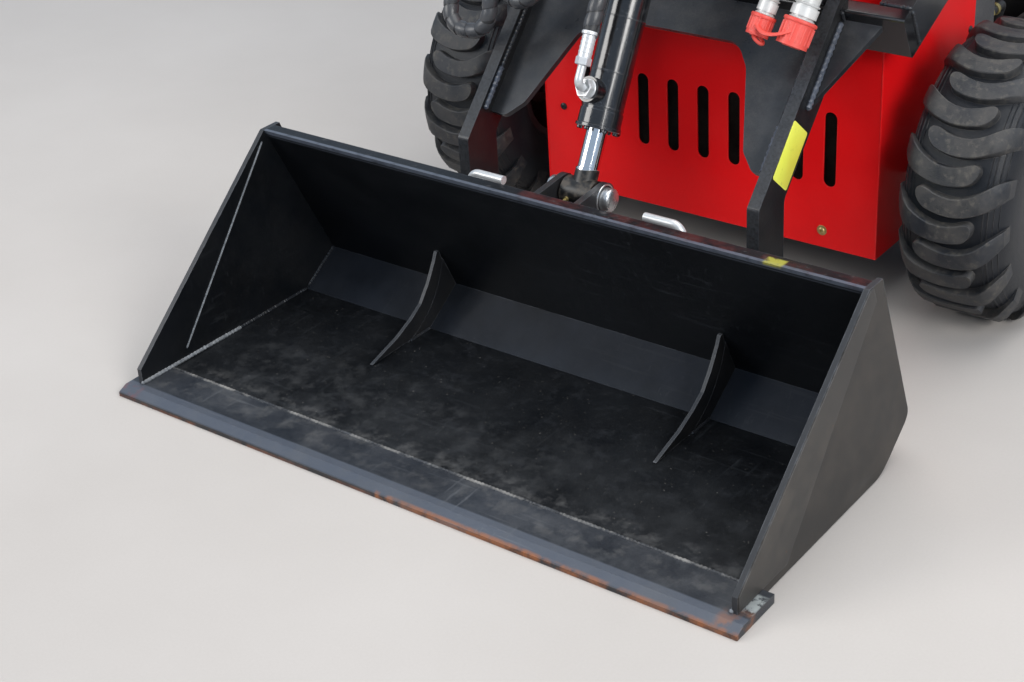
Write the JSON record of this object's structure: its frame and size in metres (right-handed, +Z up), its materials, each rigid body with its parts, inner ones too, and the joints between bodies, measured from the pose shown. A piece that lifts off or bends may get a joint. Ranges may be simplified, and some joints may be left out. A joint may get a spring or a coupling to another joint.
{
  "type": "compact wheeled skid steer loader",
  "caption": "Compact stand-on skid steer loader with a lift arm, tilt cylinder, quick-change carrier and smooth bucket, parked with the bucket flat on the ground.",
  "frame": {"origin": "on the ground, at the centre of the overall length and width", "axes": "+Z up, the machine looks along -Y, +X is its left side"},
  "size_m": [1.1, 2.24, 1.24],
  "materials": {
    "black_paint": "satin black paint",
    "red_paint": "gloss red powder coat",
    "bucket_paint": "satin black paint, scuffed",
    "blade_steel": "worn black paint over steel",
    "chrome_rod": "polished hard chrome",
    "zinc": "bright zinc plate",
    "tyre_rubber": "dusty rubber",
    "rim_paint": "grey painted wheel",
    "cast_parts": "dark cast housings",
    "black_plastic": "moulded plastic",
    "exhaust_steel": "heat-tinted steel",
    "lamp_case": "lamp housing",
    "hose_rubber": "rubber hose with a spiral guard",
    "coupler_body": "white plated quick couplers",
    "cap_plastic": "soft plastic dust caps",
    "pad_cloth": "coated cloth over foam"
  },
  "bodies": {
    "chassis": {"frame": "black_paint", "front_cover": "red_paint", "axle_front": "cast_parts", "axle_rear": "cast_parts", "towers": "black_paint", "engine_block": "cast_parts", "flywheel_shroud": "black_plastic", "air_filter": "black_plastic", "muffler": "exhaust_steel", "fuel_tank": "black_plastic", "hydraulic_pump": "cast_parts", "console": "red_paint", "grab_bar": "black_paint", "control_levers": "black_plastic", "step_hinge": "black_paint", "hood_hinge": "black_paint", "work_lamps": "lamp_case", "engine_heads": "cast_parts", "valve_block": "cast_parts", "knee_pad": "pad_cloth"},
    "hood": {"hood": "red_paint"},
    "footplate": {"footplate": "black_paint"},
    "lift_arm": {"cross_tube": "black_paint", "booms": "black_paint", "arm_legs": "black_paint", "cross_plate": "black_paint", "tool_pins": "zinc", "tilt_base_pin": "zinc", "boom_lug_pins": "zinc", "couplers": "coupler_body", "coupler_caps": "cap_plastic", "hose_brackets": "black_paint", "arm_hoses": "hose_rubber"},
    "bucket": {"tool_carrier": "black_paint", "rod_eye_pin": "zinc", "lever_handles": "zinc", "bucket_shell": "bucket_paint", "bucket_sides": "bucket_paint", "cutting_edge": "blade_steel", "bucket_ribs": "bucket_paint"},
    "tilt_barrel": {"tilt_barrel": "black_paint", "tilt_fittings": "zinc", "tilt_hoses": "hose_rubber"},
    "tilt_rod": {"tilt_rod": "chrome_rod"},
    "wheel_front_left": {"tyre_front_left": "tyre_rubber", "rim_front_left": "rim_paint"},
    "wheel_front_right": {"tyre_front_right": "tyre_rubber", "rim_front_right": "rim_paint"},
    "wheel_rear_left": {"tyre_rear_left": "tyre_rubber", "rim_rear_left": "rim_paint"},
    "wheel_rear_right": {"tyre_rear_right": "tyre_rubber", "rim_rear_right": "rim_paint"},
    "lift_barrel_left": {"lift_barrel_left": "black_paint"},
    "lift_rod_left": {"lift_rod_left": "chrome_rod"},
    "lift_barrel_right": {"lift_barrel_right": "black_paint"},
    "lift_rod_right": {"lift_rod_right": "chrome_rod"}
  },
  "joints": [
    {"name": "lift", "type": "hinge", "parent": "chassis", "child": "lift_arm", "pos_m": [0, 0.6355, 0.96137], "axis": [-1, 0, 0], "range_deg": [0, 68]},
    {"name": "tilt", "type": "hinge", "parent": "lift_arm", "child": "bucket", "pos_m": [0, -0.56, 0.14], "axis": [-1, 0, 0], "range_deg": [-70, 20]},
    {"name": "tilt_barrel_swing", "type": "hinge", "parent": "lift_arm", "child": "tilt_barrel", "pos_m": [0, -0.40015, 0.7268], "axis": [1, 0, 0], "range_deg": [-2, 2]},
    {"name": "tilt_rod_slide", "type": "slide", "parent": "tilt_barrel", "child": "tilt_rod", "axis": [0, -0.4772, -0.8788], "range_m": [-0.055, 0.18]},
    {"name": "hood_hinge", "type": "hinge", "parent": "chassis", "child": "hood", "pos_m": [0, 0.567, 0.783], "axis": [-1, 0, 0], "range_deg": [0, 60]},
    {"name": "footplate_hinge", "type": "hinge", "parent": "chassis", "child": "footplate", "pos_m": [0, 0.862, 0.19], "axis": [1, 0, 0], "range_deg": [0, 88]},
    {"name": "lift_barrel_left_swing", "type": "hinge", "parent": "chassis", "child": "lift_barrel_left", "pos_m": [0.345, 0.73, 0.4], "axis": [-1, 0, 0], "range_deg": [0, 23]},
    {"name": "lift_rod_left_slide", "type": "slide", "parent": "lift_barrel_left", "child": "lift_rod_left", "axis": [0, -0.7952, 0.6063], "range_m": [0, 0.39]},
    {"name": "lift_barrel_right_swing", "type": "hinge", "parent": "chassis", "child": "lift_barrel_right", "pos_m": [-0.345, 0.73, 0.4], "axis": [-1, 0, 0], "range_deg": [0, 23]},
    {"name": "lift_rod_right_slide", "type": "slide", "parent": "lift_barrel_right", "child": "lift_rod_right", "axis": [0, -0.7952, 0.6063], "range_m": [0, 0.39]},
    {"name": "wheel_front_left_spin", "type": "hinge", "parent": "chassis", "child": "wheel_front_left", "pos_m": [0.456, -0.162, 0.2285], "axis": [1, 0, 0], "continuous": true},
    {"name": "wheel_front_right_spin", "type": "hinge", "parent": "chassis", "child": "wheel_front_right", "pos_m": [-0.456, -0.162, 0.2285], "axis": [1, 0, 0], "continuous": true},
    {"name": "wheel_rear_left_spin", "type": "hinge", "parent": "chassis", "child": "wheel_rear_left", "pos_m": [0.456, 0.548, 0.2285], "axis": [1, 0, 0], "continuous": true},
    {"name": "wheel_rear_right_spin", "type": "hinge", "parent": "chassis", "child": "wheel_rear_right", "pos_m": [-0.456, 0.548, 0.2285], "axis": [1, 0, 0], "continuous": true}
  ],
  "couplings": [
    {"joint": "tilt_barrel_swing", "follows": "tilt", "ratio": 0.02},
    {"joint": "tilt_rod_slide", "follows": "tilt", "m_per_rad": -0.1425},
    {"joint": "lift_barrel_left_swing", "follows": "lift", "ratio": 0.33},
    {"joint": "lift_rod_left_slide", "follows": "lift", "m_per_rad": 0.32},
    {"joint": "lift_barrel_right_swing", "follows": "lift", "ratio": 0.33},
    {"joint": "lift_rod_right_slide", "follows": "lift", "m_per_rad": 0.32}
  ]
}
